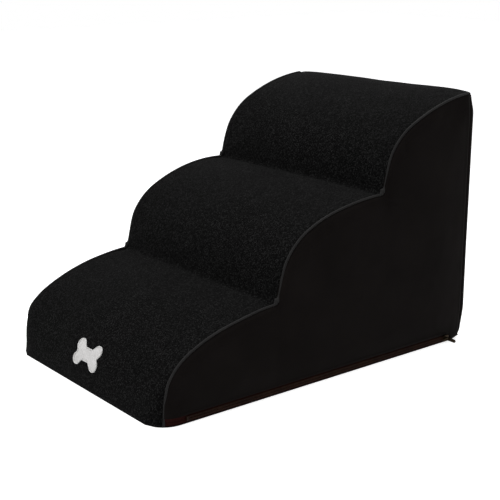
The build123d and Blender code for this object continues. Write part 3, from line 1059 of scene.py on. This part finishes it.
def foam_block():
    """The stepped foam with rounded long edges, a little smaller than the cover."""
    plain = foam_ring(FOAM_GAP)
    places = [0.0, 0.09, 0.15, 0.17]
    places += [FOAM_HALF - FOAM_EDGE * (1.0 - math.sin(turn * math.pi / 10.0)) for turn in range(6)]
    places = [-x for x in places[:0:-1]] + places
    block = bmesh.new()
    bmesh.ops.create_grid(block, x_segments=len(places) - 1, y_segments=len(plain), size=0.5)
    rings = {}
    for x in places:
        past = max(0.0, abs(x) - FOAM_HALF + FOAM_EDGE) / FOAM_EDGE
        rings[x] = foam_ring(FOAM_GAP + FOAM_EDGE * (1.0 - math.sqrt(max(0.0, 1.0 - past * past))))
    for vert in block.verts:
        x = places[round((vert.co.x + 0.5) * (len(places) - 1))]
        spot = rings[x][round((vert.co.y + 0.5) * len(plain)) % len(plain)]
        corner = CORNER_RADIUS - FOAM_GAP
        beyond = max(0.0, abs(x) - FOAM_HALF + corner)
        front = FOAM_GAP + corner - math.sqrt(max(0.0, corner * corner - beyond * beyond))
        vert.co = settled(Vector((x, FRONT_Y + max(spot.x, front), spot.y)))
    close_shape(block)
    return finish_piece("foam_block", block)


foam_piece = foam_block()
dress(foam_piece, foam, "foam", "stairs", "foam_core")


# ---- the base

BASE_FRONT = 0.0006
BASE_REAR = 0.5934
BASE_FACE_Z = 0.0007
BASE_CLOTH = 0.0007
DOT_RADIUS = 0.0018
DOT_PITCH = 0.013
DOT_ROWS = (28, 42)


def base_place(across, back):
    """The base cloth's grid, inside the stairs' outline."""
    y = BASE_FRONT + back * (BASE_REAR - BASE_FRONT)
    corner = CORNER_RADIUS - 0.0005
    half = HALF_WIDTH - 0.0008
    if y < corner:
        half -= corner - math.sqrt(corner ** 2 - (corner - y) ** 2)
    x = (across * 2.0 - 1.0) * half
    return settled(Vector((x, FRONT_Y + y, BASE_FACE_Z))), Vector((x, y))


base_panel = cloth_grid("base_cloth_panel", 40, 90, base_place, wrong_side=True)
thicken(base_panel, BASE_CLOTH)
dress(base_panel, base_cloth, "base_cloth", "stairs", "base_panel")


def grip_dots():
    """Rows of small moulded domes that the stairs stand on."""
    dot = bmesh.new()
    bmesh.ops.create_uvsphere(dot, u_segments=8, v_segments=4, radius=DOT_RADIUS)
    bmesh.ops.bisect_plane(dot, geom=dot.verts[:] + dot.edges[:] + dot.faces[:],
                           plane_co=(0.0, 0.0, 0.0), plane_no=(0.0, 0.0, 1.0), clear_outer=True)
    bmesh.ops.holes_fill(dot, edges=[edge for edge in dot.edges if edge.is_boundary])
    bmesh.ops.scale(dot, vec=(1.0, 1.0, 0.42), verts=dot.verts)
    bmesh.ops.translate(dot, vec=(-0.1755, FRONT_Y + 0.0375, 0.00078), verts=dot.verts)
    return finish_piece("base_grip_dots", dot)


dots = grip_dots()
repeated(dots, "row", DOT_ROWS[0], (DOT_PITCH, 0.0, 0.0))
repeated(dots, "column", DOT_ROWS[1], (0.0, DOT_PITCH, 0.0))
dress(dots, grip, "base_cloth", "stairs")


# ---- the zip

TAPE_FRONT_Y = -0.2836
TAPE_REAR_Y = 0.2908
TAPE_FACE_X = 0.1983
TAPE_FOOT = 0.0143
TAPES_MEET_Z = 0.0075
TEETH_FRONT_Y = -0.2494
TOOTH_PITCH = 0.0012
TOOTH_COUNT = 429
TOOTH_SIZE = (0.0023, 0.00085, 0.0030)
TOOTH_X = 0.1995
TAPE_CLOTH = 0.0007


def tape_place(low, high, foot):
    """A tape's grid, round the front corner: a foot turned in, then its face."""
    def place(back, up):
        y = TAPE_FRONT_Y + back * (TAPE_REAR_Y - TAPE_FRONT_Y)
        setback = y - FRONT_Y
        x = TAPE_FACE_X
        if setback < CORNER_RADIUS:
            x -= CORNER_RADIUS - CORNER_RADIUS * math.sin(corner_angle(setback))
        across = up * (foot + high - low)
        x -= max(0.0, foot - across)
        z = low + max(0.0, across - foot)
        closing = ease(TEETH_FRONT_Y - y, 0.0, 0.004)
        z += (TAPES_MEET_Z - z) * closing * hill(z - TAPES_MEET_Z, 0.0009)
        point = Vector((x, y, z))
        point.z += rear_foot_lift(point)
        return point, Vector((y, across))
    return place


for label, low, high, foot in (("upper", 0.0080, 0.0240, 0.0),
                               ("lower", 0.0017, 0.0070, TAPE_FOOT)):
    tape = cloth_grid("zip_tape_" + label, 220, 15, tape_place(low, high, foot))
    thicken(tape, TAPE_CLOTH)
    dress(tape, zip_tape, "zip_tape", "stairs", "zipper_tape_" + label)


def tooth_row(label, middle_z):
    """One row of teeth: a rounded loop of filament, repeated along the tape."""
    tooth = bmesh.new()
    bmesh.ops.create_cube(tooth, size=1.0)
    bmesh.ops.scale(tooth, vec=TOOTH_SIZE, verts=tooth.verts)
    bmesh.ops.bevel(tooth, geom=tooth.edges[:], affect="EDGES", offset=0.00028, segments=1,
                    profile=0.5, material=-1)
    bmesh.ops.rotate(tooth, cent=(0, 0, 0), matrix=Matrix.Rotation(0.12, 3, "X"), verts=tooth.verts)
    bmesh.ops.translate(tooth, vec=(TOOTH_X, TEETH_FRONT_Y, middle_z), verts=tooth.verts)
    row = finish_piece("zip_teeth_" + label, tooth)
    repeated(row, "along_the_tape", TOOTH_COUNT, (0.0, TOOTH_PITCH, 0.0))
    dress(row, zip_teeth, "zip_teeth", "stairs", "zipper_coil_" + label)


tooth_row("upper", 0.0094)
tooth_row("lower", 0.0056)

for name, finish in (("zipper_slider", brass), ("zipper_pull", brass),
                     ("zipper_stop_front", dark_brass), ("zipper_stops_rear", dark_brass)):
    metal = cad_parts[name]
    for place_in in metal.material_slots:
        place_in.material = finish


def thread_run(name, path, length, stitch, radius=0.0003):
    """Sewing thread that goes over and under the cloth; path(share) is a point and the way out."""
    turns = round(length / stitch)

    def place(around, onward):
        point, out = path(onward)
        ahead, _ = path(min(1.0, onward + 0.0005))
        behind, _ = path(max(0.0, onward - 0.0005))
        heading = (ahead - behind).normalized()
        sideways = heading.cross(out)
        turn = around * 2.0 * math.pi
        lift = 0.0007 * math.tanh(2.0 * math.sin(onward * turns * 2.0 * math.pi) + 0.6) - 0.0002
        point = point + out * (lift + radius * math.sin(turn)) + sideways * radius * math.cos(turn)
        return point, Vector((turn * radius, onward * length))

    thread = cloth_grid(name, 6, turns * 8, place)
    close_tube(thread)
    return thread


HEM_TREE = kdtree.KDTree(len(side_right.data.vertices))
for index, vertex in enumerate(side_right.data.vertices):
    HEM_TREE.insert((0.0, vertex.co.y, vertex.co.z), index)
HEM_TREE.balance()
HEM_RUN = 0.536
HEM_START_Y = -0.268
HEM_MARGIN = 0.0040
STITCH_LENGTH = 0.0042


def hem_path(share):
    """The line of stitches that holds the zip's upper tape, 4 mm above the side cloth's hem."""
    y, z = HEM_START_Y + share * HEM_RUN, ZIP_HEM_Z + HEM_MARGIN
    x, total = 0.0, 0.0
    for _, index, gap in HEM_TREE.find_n((0.0, y, z), 4):
        weight = 1.0 / (gap + 1e-5)
        x += side_right.data.vertices[index].co.x * weight
        total += weight
    return Vector((x / total, y, z)), Vector((1.0, 0.0, 0.0))


hem_thread = thread_run("zip_hem_stitches", hem_path, HEM_RUN, STITCH_LENGTH)
dress(hem_thread, back_cloth, "side_cloth", "stairs")


# ---- the bone figure

BONE_LOBE = 0.0095
BONE_LOBE_X = 0.0224
BONE_LOBE_UP = 0.0104
BONE_SHAFT_X = 0.0270
BONE_SHAFT_UP = 0.0101
BONE_HEIGHT = 0.048
BONE_RIM = 0.0016
BONE_BLEND = 0.0016
BONE_POINTS = 300
BONE_START_REACH = 0.045
BONE_CLOSE = 0.00002
FELT_THICKNESS = 0.0006
STITCHING_THICKNESS = 0.0004
BONE_STITCH = 0.00125


def bone_distance(x, up):
    """How far outside the bone's outline a point of the flat figure is."""
    x, up = abs(x), abs(up)
    lobe = math.hypot(x - BONE_LOBE_X, up - BONE_LOBE_UP) - BONE_LOBE
    shaft = max(x - BONE_SHAFT_X, up - BONE_SHAFT_UP)
    blend = max(0.0, BONE_BLEND - abs(lobe - shaft)) / BONE_BLEND
    return min(lobe, shaft) - blend * blend * BONE_BLEND / 4.0


def bone_outline(count):
    """Points round the bone's outline, evenly spaced, and its length."""
    ring = []
    for index in range(1440):
        angle = index / 1440 * 2.0 * math.pi
        direction = Vector((math.cos(angle), math.sin(angle)))
        reach = BONE_START_REACH
        while bone_distance(*(direction * reach)) > BONE_CLOSE:
            reach -= max(BONE_CLOSE, 0.7 * bone_distance(*(direction * reach)))
        ring.append(direction * reach)
    ring.append(ring[0])
    lengths = lengths_along(ring)
    places = [lengths[-1] * index / count for index in range(count + 1)]
    return [point_at(ring, lengths, place) for place in places], lengths[-1]


BONE_ALONG = first_along(1, BONE_HEIGHT)
OUTLINE, OUTLINE_LENGTH = bone_outline(BONE_POINTS)


def outline_at(share):
    """The outline's point and outward direction at a share of its length."""
    exact = (share % 1.0) * BONE_POINTS
    index = int(exact) % BONE_POINTS
    point = OUTLINE[index].lerp(OUTLINE[index + 1], exact - int(exact))
    ahead = OUTLINE[(index + 3) % BONE_POINTS]
    behind = OUTLINE[(index - 2) % BONE_POINTS]
    heading = (ahead - behind).normalized()
    return point, Vector((heading.y, -heading.x))


def bone_patch_place(around, inwards):
    """The figure's felt, from its outline to its middle."""
    point, _ = outline_at(around)
    point = point * (1.0 - inwards)
    height = 0.0003 + 0.0009 * ease(inwards, 0.10, 0.45)
    height += 0.0002 * waviness(point.x, point.y, 9, 0.012)
    height *= ease(inwards, -0.06, 0.02)
    return tread_surface(point.x, BONE_ALONG + point.y, height), point


def bone_border_place(around, over):
    """The raised stitching over the figure's edge."""
    point, out = outline_at(around)
    point = point + out * (0.0002 - BONE_RIM * over)
    stitch = 1.0 + 0.12 * math.sin(around * OUTLINE_LENGTH / BONE_STITCH * 2.0 * math.pi)
    height = 0.0002 + 0.0015 * math.sin(math.pi * over) ** 0.7 * stitch
    flat = Vector((around * OUTLINE_LENGTH, over * BONE_RIM))
    return tread_surface(point.x, BONE_ALONG + point.y, height), flat


bone_patch = cloth_grid("bone_patch_felt", 300, 14, bone_patch_place)
join_doubles(bone_patch)
thicken(bone_patch, FELT_THICKNESS)
dress(bone_patch, felt, "bone_felt", "stairs", "bone_patch")
bone_border = cloth_grid("bone_border_stitching", 600, 8, bone_border_place)
join_doubles(bone_border)
thicken(bone_border, STITCHING_THICKNESS)
dress(bone_border, satin_stitch, "bone_stitching", "stairs", "bone_patch_border")


# ---- floor, light and camera

def floor_material():
    """Pale floor that the camera sees white, with the stairs' shadow on it."""
    look = Surface("pale_floor", Roughness=0.8, Base_Color=(0.86, 0.86, 0.86, 1.0),
                   Emission_Color=(1.0, 1.0, 1.0, 1.0))
    look.shade(Emission_Strength=look.calc("MULTIPLY", look.in_view(), 0.72))
    return look.material


def pale_floor():
    """A wide floor that the stairs stand on."""
    shape = bmesh.new()
    bmesh.ops.create_grid(shape, x_segments=2, y_segments=2, size=6.0)
    floor = finish_piece("floor", shape)
    floor.data.materials.append(floor_material())


def soft_lamp(name, place, target, size, power):
    """A large soft lamp."""
    data = bpy.data.lights.new(name, "AREA")
    data.shape = "DISK"
    data.size = size
    data.energy = power
    lamp = bpy.data.objects.new(name, data)
    lamp.location = place
    lamp.rotation_euler = (Vector(target) - Vector(place)).to_track_quat("-Z", "Y").to_euler()
    bpy.context.scene.collection.objects.link(lamp)


def white_room():
    """Even light from all round, and white where the camera looks past the stairs."""
    world = bpy.data.worlds.new("white_room")
    bpy.context.scene.world = world
    world.use_nodes = True
    nodes = Nodes(world.node_tree)
    light = world.node_tree.nodes["Background"].inputs
    nodes.feed(light["Color"], (1.0, 1.0, 1.0, 1.0))
    strength = nodes.calc("ADD", nodes.calc("MULTIPLY", nodes.in_view(), 0.65), 0.35)
    nodes.feed(light["Strength"], strength)


def photo_camera():
    """The camera at the photograph's angle."""
    azimuth, elevation = math.radians(51.54), math.radians(15.51)
    data = bpy.data.cameras.new("photo_camera")
    data.lens = 80.86
    data.sensor_width = 36.0
    camera = bpy.data.objects.new("photo_camera", data)
    camera.location = (1.3486, -1.0560, 0.6322)
    look = Vector((-math.sin(azimuth) * math.cos(elevation),
                   math.cos(azimuth) * math.cos(elevation), -math.sin(elevation)))
    camera.rotation_euler = look.to_track_quat("-Z", "Y").to_euler()
    bpy.context.scene.collection.objects.link(camera)
    bpy.context.scene.camera = camera


pale_floor()
white_room()
soft_lamp("key_lamp", (-0.6, -1.6, 1.9), (0.0, 0.0, 0.2), 1.6, 17.0)
soft_lamp("side_lamp", (1.8, -1.5, 1.0), (0.1, -0.15, 0.15), 1.4, 10.0)
soft_lamp("top_lamp", (0.0, 0.4, 2.4), (0.0, 0.0, 0.2), 1.8, 26.0)
photo_camera()
bpy.context.scene.view_settings.view_transform = "Standard"
